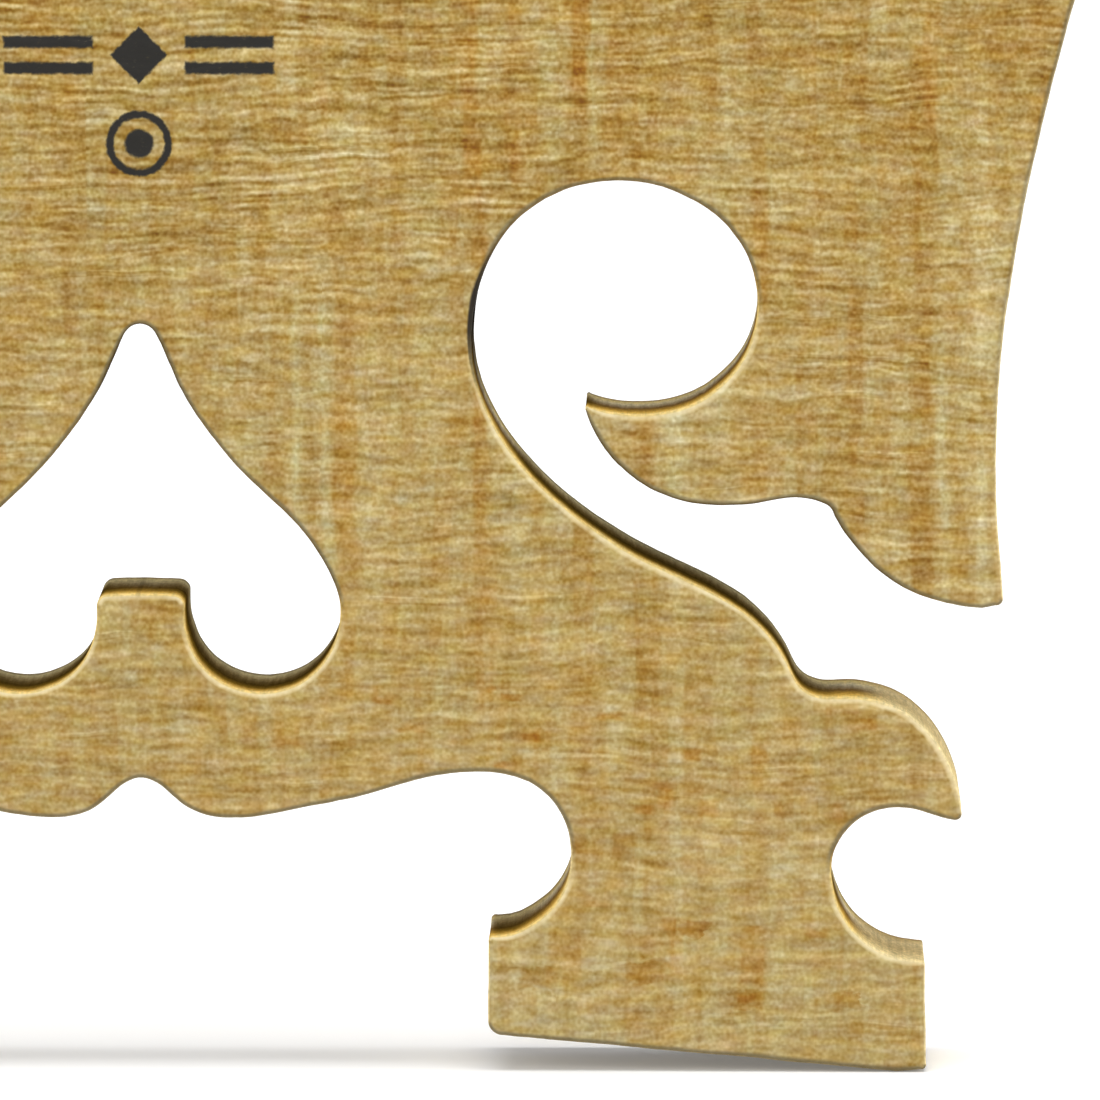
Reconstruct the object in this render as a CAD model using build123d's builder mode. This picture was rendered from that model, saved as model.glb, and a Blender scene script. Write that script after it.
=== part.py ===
from build123d import *
import os

# Full-size violin bridge blank, carved from one piece of quarter-sawn maple.
#
# Frame: +Z up, standing on its two feet on Z = 0. X runs across the strings and
# the outline is symmetric about X = 0. The flat, stamped face is towards -Y and
# the crowned face, which a luthier planes thin, is towards +Y. The origin is
# midway between the feet and midway through their thickness.

# ---- driving dimensions, millimetres ----
foot_span = 41.0          # over the outer ends of the feet
height = 36.6             # soles to the middle of the top arc
top_corner = (24.88, 30.2)  # where the flank meets the top arc
foot_thickness = 4.7      # front to back at the soles
top_thickness = 2.6       # front to back at the middle of the top arc
sole_outer = (19.75, 0.0)   # the sole is flat between these two points and
sole_inner = (9.45, 0.93)   # rises inwards, to suit an arched belly

half_foot = foot_span / 2
front_y = -foot_thickness / 2

# ---- outline, right-hand half, as (x, z) knots from the top corner downwards ----
flank = [top_corner, (24.24, 27.87), (23.69, 25.79), (23.22, 23.80), (22.85, 21.91), (22.56, 20.07),
         (22.37, 18.28), (22.29, 16.53), (22.30, 14.82), (22.41, 13.30), (22.47, 12.46)]
wing_tip = [(22.42, 12.31), (22.26, 12.25)]
wing_underside = [(21.92, 12.18), (21.38, 12.23), (20.80, 12.36), (20.13, 12.59), (19.55, 12.91),
                  (19.03, 13.32), (18.55, 13.87), (18.24, 14.30), (18.06, 14.62)]
wing_cusp = [(17.98, 14.79), (17.80, 14.91)]
hook_underside = [(17.52, 15.01), (16.94, 15.06), (16.22, 14.94), (15.20, 14.85), (14.39, 14.91),
                  (13.66, 15.12), (12.97, 15.49), (12.38, 15.99), (11.92, 16.59), (11.66, 17.13), (11.58, 17.37)]
hook_tip = [(11.60, 17.45), (11.70, 17.44)]
# the round eye, then the long S down into the hollow above the ankle, and over the knee
eye = [(11.97, 17.36), (12.85, 17.25), (13.67, 17.31), (14.40, 17.54), (15.03, 17.95), (15.54, 18.49),
       (15.88, 19.13), (16.04, 19.85), (16.01, 20.61), (15.81, 21.32), (15.42, 21.96), (14.87, 22.51),
       (14.18, 22.93), (13.40, 23.21), (12.57, 23.32), (11.74, 23.27), (10.94, 23.04), (10.23, 22.65),
       (9.64, 22.12), (9.20, 21.46), (8.88, 20.69), (8.68, 19.75)]
s_curve = [(8.64, 18.84), (8.78, 18.00), (9.12, 17.17), (9.59, 16.38), (10.22, 15.61),
           (11.00, 14.87), (11.92, 14.18), (12.90, 13.57), (14.04, 13.01), (15.10, 12.48), (15.86, 11.98),
           (16.44, 11.39), (16.88, 10.72), (17.20, 10.14)]
knee = [(17.60, 9.89), (18.41, 9.86), (19.13, 9.78), (19.82, 9.51), (20.42, 9.06), (20.89, 8.47),
        (21.23, 7.75), (21.39, 7.10), (21.41, 6.84)]
knee_tip = [(21.35, 6.67), (21.20, 6.63)]
ankle_outer = [(20.92, 6.69), (20.22, 6.89), (19.51, 6.93), (18.90, 6.74), (18.41, 6.34), (18.10, 5.80),
               (18.02, 5.17), (18.16, 4.48), (18.51, 3.83), (19.02, 3.34), (19.66, 3.03), (20.38, 2.90)]
foot_top_corner = [(20.45, 2.87), (20.47, 2.80)]
foot_outer_end = (half_foot, 0.25)
foot_outer_corner = [(20.47, 0.11), (20.36, 0.065)]
foot_inner_corner = [(9.14, 1.05), (9.03, 1.32)]
foot_inner_top = [(9.06, 3.40), (9.10, 3.53), (9.22, 3.56)]
ankle_inner = [(9.70, 3.63), (10.20, 3.88), (10.67, 4.27), (10.98, 4.71), (11.17, 5.23),
               (11.21, 5.80), (11.12, 6.37), (10.89, 6.88), (10.54, 7.30), (10.10, 7.60), (9.54, 7.78),
               (8.84, 7.86), (8.09, 7.82), (7.30, 7.67), (6.22, 7.36), (5.36, 7.14), (4.35, 6.94), (3.36, 6.74),
               (2.50, 6.65), (1.86, 6.68), (1.31, 6.86), (0.82, 7.22), (0.42, 7.55), (0.0, 7.69)]

# ---- heart, right-hand half, from its tip down round the lobe to the tongue ----
heart_tip = [(0.0, 19.58), (0.26, 19.49), (0.43, 19.28)]
heart_lobe = [(0.60, 18.92), (0.95, 18.11), (1.34, 17.40), (1.99, 16.50), (2.56, 15.82), (3.34, 15.06), (4.09, 14.33),
              (4.60, 13.66), (4.96, 13.01), (5.15, 12.48), (5.18, 11.90), (5.05, 11.32), (4.79, 10.81),
              (4.44, 10.42), (3.98, 10.13), (3.43, 9.98), (2.89, 9.98), (2.34, 10.13), (1.84, 10.43), (1.53, 10.77),
              (1.27, 11.32), (1.17, 11.75), (1.16, 12.16)]
tongue_corner = [(1.09, 12.41), (0.86, 12.52)]
tongue_top = (0.0, 12.54)

with BuildPart() as bridge:
    # the blank's outline, sawn square to the flat face
    with BuildSketch(Plane.XZ.offset(-foot_thickness / 2)) as profile:
        with BuildLine() as outline:
            ThreePointArc((-top_corner[0], top_corner[1]), (0, height), top_corner)
            with BuildLine(mode=Mode.PRIVATE) as half:
                Spline(*flank)
                ThreePointArc(flank[-1], wing_tip[0], wing_tip[1])
                Line(wing_tip[1], wing_underside[0])
                Spline(*wing_underside)
                ThreePointArc(wing_underside[-1], wing_cusp[0], wing_cusp[1])
                Spline(wing_cusp[1], *hook_underside)
                ThreePointArc(hook_underside[-1], hook_tip[0], hook_tip[1])
                Spline(hook_tip[1], *eye, *s_curve, *knee)
                ThreePointArc(knee[-1], knee_tip[0], knee_tip[1])
                Spline(knee_tip[1], *ankle_outer)
                ThreePointArc(ankle_outer[-1], foot_top_corner[0], foot_top_corner[1])
                Line(foot_top_corner[1], foot_outer_end)
                ThreePointArc(foot_outer_end, foot_outer_corner[0], foot_outer_corner[1])
                Line(foot_outer_corner[1], sole_outer)
                Line(sole_outer, sole_inner)
                ThreePointArc(sole_inner, foot_inner_corner[0], foot_inner_corner[1])
                Line(foot_inner_corner[1], foot_inner_top[0])
                ThreePointArc(*foot_inner_top)
                Spline(foot_inner_top[2], *ankle_inner, tangents=[(1, 0.05), (-1, 0)], tangent_scalars=[0.5, 0.5])
            add(half.line)
            mirror(half.line, about=Plane.YZ)
        make_face()
        # the heart, pierced right through
        with BuildLine() as heart:
            with BuildLine(mode=Mode.PRIVATE) as half_heart:
                ThreePointArc(*heart_tip)
                Spline(heart_tip[2], *heart_lobe)
                ThreePointArc(heart_lobe[-1], tongue_corner[0], tongue_corner[1])
                Line(tongue_corner[1], tongue_top)
            add(half_heart.line)
            mirror(half_heart.line, about=Plane.YZ)
        make_face(mode=Mode.SUBTRACT)
    extrude(amount=foot_thickness)

    # the side view: flat at the front, a shallow crown behind that thins towards the top
    with BuildSketch(Plane.YZ) as side_view:
        with BuildLine() as wedge:
            back_foot = (front_y + foot_thickness, 0)
            back_mid = (front_y + foot_thickness - (foot_thickness - top_thickness) / 4, height / 2)
            back_top = (front_y + top_thickness, height)
            crown = ThreePointArc(back_foot, back_mid, back_top)
            Line(back_top, (front_y, height))
            Line((front_y, height), (front_y, -1))
            Line((front_y, -1), (back_foot[0], -1))
            Line((back_foot[0], -1), back_foot)
        make_face()
    extrude(amount=30, both=True, mode=Mode.INTERSECT)

bridge.part.label = "bridge"
os.makedirs("parts", exist_ok=True)
export_step(bridge.part, "parts/bridge.step")
box = bridge.part.bounding_box()
print("size", box.size, "min", box.min, "max", box.max, "volume", bridge.part.volume, "valid", bridge.part.is_valid)
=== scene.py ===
"""Violin bridge blank: looks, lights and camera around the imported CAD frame. Lengths below are in millimetres until they
are handed to Blender, which works in metres."""

import math

import bpy
import numpy as np
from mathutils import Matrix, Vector
from mathutils.geometry import delaunay_2d_cdt


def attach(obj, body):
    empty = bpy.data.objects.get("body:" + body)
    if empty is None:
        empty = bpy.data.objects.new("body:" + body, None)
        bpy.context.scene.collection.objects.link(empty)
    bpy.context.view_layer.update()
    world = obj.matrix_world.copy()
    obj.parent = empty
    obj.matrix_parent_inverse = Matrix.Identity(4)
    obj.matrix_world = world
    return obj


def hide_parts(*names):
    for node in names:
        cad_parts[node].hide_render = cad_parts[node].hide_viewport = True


MM = 0.001
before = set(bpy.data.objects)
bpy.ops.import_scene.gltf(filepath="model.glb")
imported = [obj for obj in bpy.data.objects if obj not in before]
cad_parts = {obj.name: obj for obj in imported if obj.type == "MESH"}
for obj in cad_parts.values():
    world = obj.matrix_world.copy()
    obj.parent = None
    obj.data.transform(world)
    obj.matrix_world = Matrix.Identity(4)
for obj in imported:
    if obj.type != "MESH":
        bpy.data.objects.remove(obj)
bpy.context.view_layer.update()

# --------------------------------------------------------------------------------------------------------------------
# the outline, the same knots as the CAD source
# --------------------------------------------------------------------------------------------------------------------
HEIGHT = 36.6
TOP_CORNER = (24.88, 30.2)
FOOT_T, TOP_T = 4.7, 2.6
Y_FRONT = -FOOT_T / 2

flank = [TOP_CORNER, (24.24, 27.87), (23.69, 25.79), (23.22, 23.80), (22.85, 21.91), (22.56, 20.07),
         (22.37, 18.28), (22.29, 16.53), (22.30, 14.82), (22.41, 13.30), (22.47, 12.46)]
wing_tip = [(22.42, 12.31), (22.26, 12.25)]
wing_underside = [(21.92, 12.18), (21.38, 12.23), (20.80, 12.36), (20.13, 12.59), (19.55, 12.91),
                  (19.03, 13.32), (18.55, 13.87), (18.24, 14.30), (18.06, 14.62)]
wing_cusp = [(17.98, 14.79), (17.80, 14.91)]
hook_underside = [(17.52, 15.01), (16.94, 15.06), (16.22, 14.94), (15.20, 14.85), (14.39, 14.91),
                  (13.66, 15.12), (12.97, 15.49), (12.38, 15.99), (11.92, 16.59), (11.66, 17.13), (11.58, 17.37)]
hook_tip = [(11.60, 17.45), (11.70, 17.44)]
eye = [(11.97, 17.36), (12.85, 17.25), (13.67, 17.31), (14.40, 17.54), (15.03, 17.95), (15.54, 18.49),
       (15.88, 19.13), (16.04, 19.85), (16.01, 20.61), (15.81, 21.32), (15.42, 21.96), (14.87, 22.51),
       (14.18, 22.93), (13.40, 23.21), (12.57, 23.32), (11.74, 23.27), (10.94, 23.04), (10.23, 22.65),
       (9.64, 22.12), (9.20, 21.46), (8.88, 20.69), (8.68, 19.75)]
s_curve = [(8.64, 18.84), (8.78, 18.00), (9.12, 17.17), (9.59, 16.38), (10.22, 15.61),
           (11.00, 14.87), (11.92, 14.18), (12.90, 13.57), (14.04, 13.01), (15.10, 12.48), (15.86, 11.98),
           (16.44, 11.39), (16.88, 10.72), (17.20, 10.14)]
knee = [(17.60, 9.89), (18.41, 9.86), (19.13, 9.78), (19.82, 9.51), (20.42, 9.06), (20.89, 8.47),
        (21.23, 7.75), (21.39, 7.10), (21.41, 6.84)]
knee_tip = [(21.35, 6.67), (21.20, 6.63)]
ankle_outer = [(20.92, 6.69), (20.22, 6.89), (19.51, 6.93), (18.90, 6.74), (18.41, 6.34), (18.10, 5.80),
               (18.02, 5.17), (18.16, 4.48), (18.51, 3.83), (19.02, 3.34), (19.66, 3.03), (20.38, 2.90)]
foot_top_corner = [(20.45, 2.87), (20.47, 2.80)]
foot_outer_end = (20.5, 0.25)
foot_outer_corner = [(20.47, 0.11), (20.36, 0.065)]
sole_outer = (19.75, 0.0)
sole_inner = (9.45, 0.93)
foot_inner_corner = [(9.14, 1.05), (9.03, 1.32)]
foot_inner_top = [(9.06, 3.40), (9.10, 3.53), (9.22, 3.56)]
ankle_inner = [(9.70, 3.63), (10.20, 3.88), (10.67, 4.27), (10.98, 4.71), (11.17, 5.23),
               (11.21, 5.80), (11.12, 6.37), (10.89, 6.88), (10.54, 7.30), (10.10, 7.60), (9.54, 7.78),
               (8.84, 7.86), (8.09, 7.82), (7.30, 7.67), (6.22, 7.36), (5.36, 7.14), (4.35, 6.94), (3.36, 6.74),
               (2.50, 6.65), (1.86, 6.68), (1.31, 6.86), (0.82, 7.22), (0.42, 7.55), (0.0, 7.69)]
heart_tip = [(0.0, 19.58), (0.26, 19.49), (0.43, 19.28)]
heart_lobe = [(0.60, 18.92), (0.95, 18.11), (1.34, 17.40), (1.99, 16.50), (2.56, 15.82), (3.34, 15.06), (4.09, 14.33),
              (4.60, 13.66), (4.96, 13.01), (5.15, 12.48), (5.18, 11.90), (5.05, 11.32), (4.79, 10.81),
              (4.44, 10.42), (3.98, 10.13), (3.43, 9.98), (2.89, 9.98), (2.34, 10.13), (1.84, 10.43), (1.53, 10.77),
              (1.27, 11.32), (1.17, 11.75), (1.16, 12.16)]
tongue_corner = [(1.09, 12.41), (0.86, 12.52)]
tongue_top = (0.0, 12.54)

STEP = 0.01


def spline(points, start=None, end=None):
    """Cubic through the points by chord length, natural at an end unless that end has a tangent."""
    p = np.array(points, float)
    h = np.hypot(*np.diff(p, axis=0).T)
    n = len(p)
    a = np.zeros((n, n))
    r = np.zeros((n, 2))
    for i in range(1, n - 1):
        a[i, i - 1], a[i, i], a[i, i + 1] = h[i - 1], 2 * (h[i - 1] + h[i]), h[i]
        r[i] = 6 * ((p[i + 1] - p[i]) / h[i] - (p[i] - p[i - 1]) / h[i - 1])
    a[0, 0] = a[-1, -1] = 1
    if start is not None:
        a[0, 0], a[0, 1] = 2 * h[0], h[0]
        r[0] = 6 * ((p[1] - p[0]) / h[0] - np.array(start, float))
    if end is not None:
        a[-1, -1], a[-1, -2] = 2 * h[-1], h[-1]
        r[-1] = 6 * (np.array(end, float) - (p[-1] - p[-2]) / h[-1])
    m = np.linalg.solve(a, r)
    out = []
    for i in range(n - 1):
        u = np.linspace(0, h[i], max(2, int(h[i] / STEP)) + 1)[:-1, None]
        v = h[i] - u
        out.append(m[i] * v**3 / (6 * h[i]) + m[i + 1] * u**3 / (6 * h[i])
                   + (p[i] / h[i] - m[i] * h[i] / 6) * v + (p[i + 1] / h[i] - m[i + 1] * h[i] / 6) * u)
    return np.vstack(out + [p[-1:]])


def line(a, b):
    n = max(2, int(math.dist(a, b) / STEP))
    t = np.linspace(0, 1, n + 1)[:, None]
    return np.array(a) * (1 - t) + np.array(b) * t


def arc(a, b, c):
    """Circle arc through three points."""
    ax, az, bx, bz, cx, cz = *a, *b, *c
    d = 2 * (ax * (bz - cz) + bx * (cz - az) + cx * (az - bz))
    ux = ((ax**2 + az**2) * (bz - cz) + (bx**2 + bz**2) * (cz - az) + (cx**2 + cz**2) * (az - bz)) / d
    uz = ((ax**2 + az**2) * (cx - bx) + (bx**2 + bz**2) * (ax - cx) + (cx**2 + cz**2) * (bx - ax)) / d
    rad = math.hypot(ax - ux, az - uz)
    t0, t1, t2 = (math.atan2(z - uz, x - ux) for x, z in (a, b, c))
    turn = (t2 - t0) % (2 * math.pi)
    if not 0 < (t1 - t0) % (2 * math.pi) < turn:
        turn -= 2 * math.pi
    t = np.linspace(t0, t0 + turn, max(4, int(abs(turn) * rad / STEP)) + 1)
    return np.c_[ux + rad * np.cos(t), uz + rad * np.sin(t)]


def chain(*runs):
    return np.vstack([runs[0]] + [r[1:] for r in runs[1:]])


half = chain(
    spline(flank), arc(flank[-1], *wing_tip), line(wing_tip[1], wing_underside[0]), spline(wing_underside),
    arc(wing_underside[-1], *wing_cusp), spline([wing_cusp[1], *hook_underside]), arc(hook_underside[-1], *hook_tip),
    spline([hook_tip[1], *eye, *s_curve, *knee]), arc(knee[-1], *knee_tip), spline([knee_tip[1], *ankle_outer]),
    arc(ankle_outer[-1], *foot_top_corner), line(foot_top_corner[1], foot_outer_end),
    arc(foot_outer_end, *foot_outer_corner), line(foot_outer_corner[1], sole_outer), line(sole_outer, sole_inner),
    arc(sole_inner, *foot_inner_corner), line(foot_inner_corner[1], foot_inner_top[0]), arc(*foot_inner_top),
    spline([foot_inner_top[2], *ankle_inner], start=(1, 0.05), end=(-1, 0)))
top = arc((-TOP_CORNER[0], TOP_CORNER[1]), (0, HEIGHT), TOP_CORNER)
mirror_of = lambda p: p[::-1] * np.array([-1, 1])
outer_fine = chain(top, half, mirror_of(half))[:-1]  # clockwise seen from the flat face, material on the right


def soften(loop, corner, cut):
    """Rounds one sharp corner of a closed loop with a small curve."""
    i = int(np.argmin(((loop - np.array(corner)) ** 2).sum(1)))
    loop = np.roll(loop, -i, 0)
    s = np.r_[0, np.cumsum(np.hypot(*np.diff(np.vstack([loop, loop[:1]]), axis=0).T))][:-1]
    whole = s[-1]
    keep = (s > cut) & (s < whole - cut)
    a, b, c = loop[keep][-1], loop[0], loop[keep][0]
    t = np.linspace(0, 1, 41)[1:-1, None]
    return np.vstack([a * (1 - t) ** 2 + 2 * b * t * (1 - t) + c * t**2, loop[keep]])


for side in (-1, 1):
    outer_fine = soften(outer_fine, (side * TOP_CORNER[0], TOP_CORNER[1]), 0.35)
half_heart = chain(arc(*heart_tip), spline([heart_tip[2], *heart_lobe]), arc(heart_lobe[-1], *tongue_corner),
                   line(tongue_corner[1], tongue_top))
heart_fine = chain(half_heart[::-1], mirror_of(half_heart[::-1]))[:-1]  # anticlockwise, material on the right


def smooth_loop(v, sigma):
    """Gaussian blur of a value round a closed loop, sigma in samples."""
    k = int(3 * sigma) + 1
    w = np.exp(-0.5 * (np.arange(-k, k + 1) / sigma) ** 2)
    w /= w.sum()
    e = np.concatenate([v[-k:], v, v[:k]])
    return np.convolve(e, w, "valid")


def resample(loop):
    """Points close together where the outline bends tightly and about 0.13 mm apart elsewhere."""
    d = np.hypot(*(np.roll(loop, -1, 0) - loop).T)
    keep = d > 1e-6
    loop = loop[keep]
    d = np.hypot(*(np.roll(loop, -1, 0) - loop).T)
    s = np.r_[0, np.cumsum(d)]
    n = int(s[-1] / STEP)
    u = np.arange(n) * s[-1] / n
    closed = np.vstack([loop, loop[:1]])
    p = np.c_[np.interp(u, s, closed[:, 0]), np.interp(u, s, closed[:, 1])]
    t = np.roll(p, -2, 0) - np.roll(p, 2, 0)
    turn = np.angle(np.exp(1j * (np.roll(np.arctan2(t[:, 1], t[:, 0]), -2) - np.roll(np.arctan2(t[:, 1], t[:, 0]), 2)))) / (4 * STEP)
    k = smooth_loop(np.abs(turn), 5)
    ds = np.clip(0.2 / np.maximum(k, 1e-6), 0.035, 0.13)
    ds = np.minimum.reduce([np.roll(ds, j) for j in range(-8, 9, 2)])
    phase = np.r_[0, np.cumsum(STEP / ds)]
    m = int(round(phase[-1]))
    at = np.interp(np.arange(m) * phase[-1] / m, phase, np.arange(n + 1))
    idx = np.floor(at).astype(int) % n
    f = (at - np.floor(at))[:, None]
    q = p[idx] * (1 - f) + p[(idx + 1) % n] * f
    arc_len = at * STEP
    return q, arc_len


# --------------------------------------------------------------------------------------------------------------------
# repeatable value noise for the relief that is cut into the mesh
# --------------------------------------------------------------------------------------------------------------------
def hash2(i, j, seed):
    h = (i.astype(np.int64) * 374761393 + j.astype(np.int64) * 668265263 + seed * 974634777) & 0xFFFFFFFF
    h = ((h ^ (h >> 13)) * 1274126177) & 0xFFFFFFFF
    return ((h ^ (h >> 16)) & 0xFFFFFF) / float(0xFFFFFF)


def vnoise(x, y, seed):
    """Smooth noise from -1 to 1."""
    x, y = np.broadcast_arrays(np.asarray(x, float), np.asarray(y, float))
    i, j = np.floor(x), np.floor(y)
    u, v = x - i, y - j
    u, v = u * u * (3 - 2 * u), v * v * (3 - 2 * v)
    a, b = hash2(i, j, seed), hash2(i + 1, j, seed)
    c, d = hash2(i, j + 1, seed), hash2(i + 1, j + 1, seed)
    return 2 * ((a * (1 - u) + b * u) * (1 - v) + (c * (1 - u) + d * u) * v) - 1


def y_back(z):
    """The crowned face: an arc through the sole, a quarter of the taper at mid height, and the top."""
    y0, y1, y2 = Y_FRONT + FOOT_T, Y_FRONT + FOOT_T - (FOOT_T - TOP_T) / 4, Y_FRONT + TOP_T
    z0, z1, z2 = 0.0, HEIGHT / 2, HEIGHT
    d = 2 * (y0 * (z1 - z2) + y1 * (z2 - z0) + y2 * (z0 - z1))
    cy = ((y0**2 + z0**2) * (z1 - z2) + (y1**2 + z1**2) * (z2 - z0) + (y2**2 + z2**2) * (z0 - z1)) / d
    cz = ((y0**2 + z0**2) * (y2 - y1) + (y1**2 + z1**2) * (y0 - y2) + (y2**2 + z2**2) * (y1 - y0)) / d
    rad = math.hypot(y0 - cy, z0 - cz)
    return cy + math.copysign(1, y0 - cy) * np.sqrt(rad**2 - (np.asarray(z) - cz) ** 2)


def relief(x, z, seed):
    """Raised fibre on a face, in millimetres, never proud of the CAD face."""
    wav = z + 0.35 * vnoise(x * 0.13, z * 0.2, seed + 1) + 0.05 * vnoise(x * 0.9, z * 0.8, seed + 2)
    r = 0.0045 * vnoise(x * 0.28, wav * 2.6, seed + 3) + 0.0022 * vnoise(x * 0.5, wav * 4.2, seed + 4)
    r += 0.006 * vnoise(x * 0.35, z * 0.3, seed + 5)
    return r - 0.008


# --------------------------------------------------------------------------------------------------------------------
# the strongest marks of figure, kept as two vertex values: how dark and how warm
# --------------------------------------------------------------------------------------------------------------------
# upright strips: x, half width, lowest and highest z, how dark, how warm
STRIPS = [
    (8.82, 0.17, 13.4, 22.5, 1.25, 1.0), (8.95, 0.22, 9.4, 13.6, 0.45, 0.9), (8.60, 0.20, 22.8, 29.0, 0.9, 1.2),
    (11.43, 0.23, 11.8, 15.5, 1.45, 1.5), (11.50, 0.22, 8.2, 11.2, 0.05, 0.3), (11.53, 0.22, 24.9, 30.0, 1.0, 1.1),
    (13.09, 0.26, 13.4, 18.2, 0.75, 0.4), (9.76, 0.24, 22.6, 26.2, 0.2, 0.6), (16.06, 0.20, 11.8, 24.3, 0.65, 0.7),
    (20.30, 0.30, 8.6, 26.5, 0.85, 0.35), (20.60, 0.20, 24.6, 30.0, 0.1, 1.3), (18.66, 0.22, 11.8, 24.5, 0.50, 0.6),
    (3.51, 0.28, 12.2, 17.0, 0.8, 0.6), (5.33, 0.24, 9.2, 20.5, 0.75, 0.8), (4.48, 0.16, 12.6, 18.4, 0.8, 0.2),
    (14.86, 0.22, 23.9, 30.0, 0.75, 0.4), (17.31, 0.28, 12.6, 28.5, 0.40, 0.35), (12.40, 0.20, 23.5, 30.0, 0.4, 0.6),
    (20.85, 0.10, 9.4, 29.0, -0.75, -0.7), (21.86, 0.17, 11.8, 26.5, -1.5, -0.4), (9.96, 0.07, 22.6, 26.2, -0.9, -0.5),
    (11.78, 0.07, 22.6, 29.4, -0.9, -0.7), (13.92, 0.17, 11.6, 20.4, -0.8, -0.5), (15.22, 0.13, 11.6, 29.0, -0.6, -0.4),
    (9.50, 0.28, 12.4, 17.2, -0.85, -0.7), (4.06, 0.09, 12.4, 20.4, -1.0, -1.0), (4.80, 0.10, 12.4, 20.4, -0.85, -1.0),
    (10.77, 0.22, 22.6, 29.4, -0.6, -0.5), (3.95, 0.16, 25.5, 29.5, -0.9, -0.3), (16.90, 0.12, 14.0, 28.0, -0.1, 0.0),
    (-8.4, 0.22, 9.0, 27.0, 0.9, 0.9), (-11.6, 0.24, 22.0, 31.0, 0.9, 1.0), (-13.5, 0.22, 12.0, 18.0, 0.9, 0.7),
    (-5.6, 0.24, 8.0, 19.0, 0.8, 0.8), (-16.4, 0.20, 12.0, 25.0, 0.7, 0.8), (-19.9, 0.28, 9.0, 28.0, 0.9, 0.6),
    (-20.6, 0.11, 9.4, 29.0, -0.8, -0.7), (-14.3, 0.14, 12.0, 20.0, -0.8, -0.5), (-3.8, 0.24, 12.2, 18.0, 0.8, 0.6)]
# small brown patches, mostly in the lower half: x, z, half width, half height, how dark, how warm
PATCHES = [
    (12.24, 9.36, 0.30, 0.09, 1.6, 1.4), (14.40, 8.34, 0.22, 0.13, 1.2, 1.2), (16.14, 8.55, 0.20, 0.38, 0.6, 1.0),
    (13.55, 7.52, 0.28, 0.11, 1.4, 1.0), (13.70, 7.22, 0.18, 0.28, 0.5, 1.1), (13.15, 6.88, 0.24, 0.11, 1.0, 1.2),
    (14.80, 6.94, 0.24, 0.22, 1.4, 1.7), (16.75, 6.90, 0.20, 0.18, 1.1, 0.7), (18.22, 6.86, 0.15, 0.24, 0.9, 1.4),
    (17.85, 9.25, 0.14, 0.28, 0.9, 0.6), (18.92, 9.15, 0.20, 0.14, 0.9, 0.9), (12.60, 5.98, 0.26, 0.28, 1.0, 0.7),
    (15.30, 5.85, 0.24, 0.13, 0.9, 0.8), (13.85, 3.90, 0.22, 0.16, 1.2, 1.1), (13.95, 3.10, 0.18, 0.60, 0.4, 1.2),
    (15.98, 3.75, 0.26, 0.10, 1.4, 1.0), (15.98, 2.80, 0.30, 0.48, 1.0, 1.4), (15.80, 1.92, 0.17, 0.10, 0.9, 1.3),
    (17.68, 3.62, 0.26, 0.07, 1.1, 0.9), (11.90, 4.42, 0.28, 0.07, 0.9, 0.9), (12.45, 4.95, 0.20, 0.10, 0.7, 0.9),
    (11.15, 5.95, 0.30, 0.12, 0.8, 0.9), (8.30, 8.90, 0.26, 0.30, 0.5, 1.2), (9.70, 9.85, 0.30, 0.08, 1.6, 1.3),
    (10.18, 8.80, 0.17, 0.11, 1.4, 1.3), (9.15, 10.05, 0.16, 0.07, 1.1, 1.2), (9.40, 8.05, 0.18, 0.09, 1.3, 1.3),
    (2.60, 7.45, 0.30, 0.12, 0.8, 0.9), (6.30, 9.75, 0.22, 0.07, 1.1, 1.0), (7.00, 9.00, 0.35, 0.07, 0.9, 1.0)]
PATCHES += [(-x - 0.35, z + 0.2, w, h, d, k) for x, z, w, h, d, k in PATCHES]


def soft_step(v, lo, hi):
    t = np.clip((v - lo) / (hi - lo), 0, 1)
    return t * t * (3 - 2 * t)


def strip_bend(z):
    return 0.10 * vnoise(z * 0.30, 0.5, 91) + 0.04 * vnoise(z * 1.1, 0.5, 92)


def figure(x, z):
    """How dark and how warm the figure is at each point."""
    dark, tint = np.zeros(len(x)), np.zeros(len(x))
    line = x + strip_bend(z) + 0.05 * vnoise(x * 0.6, z * 5.0, 93)
    for cx, half_w, z_lo, z_hi, d, k in STRIPS:
        here = soft_step(np.abs(line - cx), half_w + 0.07, half_w - 0.05)
        here = here * soft_step(np.abs(z - (z_lo + z_hi) / 2), (z_hi - z_lo) / 2 + 0.5, (z_hi - z_lo) / 2 - 1.0)
        here = here * (0.80 + 0.45 * vnoise(z * 0.8, cx, 94))
        dark, tint = dark + here * d, tint + here * k
    jx = x + 0.10 * vnoise(x * 3.0, z * 6.0, 95)
    jz = z + 0.04 * vnoise(x * 4.0, z * 4.0, 96)
    for cx, cz, half_w, half_h, d, k in PATCHES:
        here = soft_step(np.maximum(np.abs(jx - cx) / half_w, np.abs(jz - cz) / half_h), 1.45, 0.65)
        dark, tint = dark + here * d, tint + here * k
    return dark, tint


def figure_points():
    """Extra mesh points along the edges of the strips and over the patches, so that the marks stay sharp."""
    out = []
    for cx, half_w, z_lo, z_hi, *_ in STRIPS:
        z = np.arange(max(z_lo, 0.2), min(z_hi, 36.4), 0.40)
        for off in (-half_w - 0.08, -half_w + 0.04, half_w - 0.04, half_w + 0.08):
            out.append(np.c_[cx + off - strip_bend(z), z])
    for cx, cz, half_w, half_h, *_ in PATCHES:
        px, pz = np.meshgrid(np.arange(cx - 1.6 * half_w, cx + 1.6 * half_w, 0.09),
                             np.arange(cz - 1.7 * half_h, cz + 1.7 * half_h, 0.06))
        out.append(np.c_[px.ravel(), pz.ravel()])
    return np.vstack(out)


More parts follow.
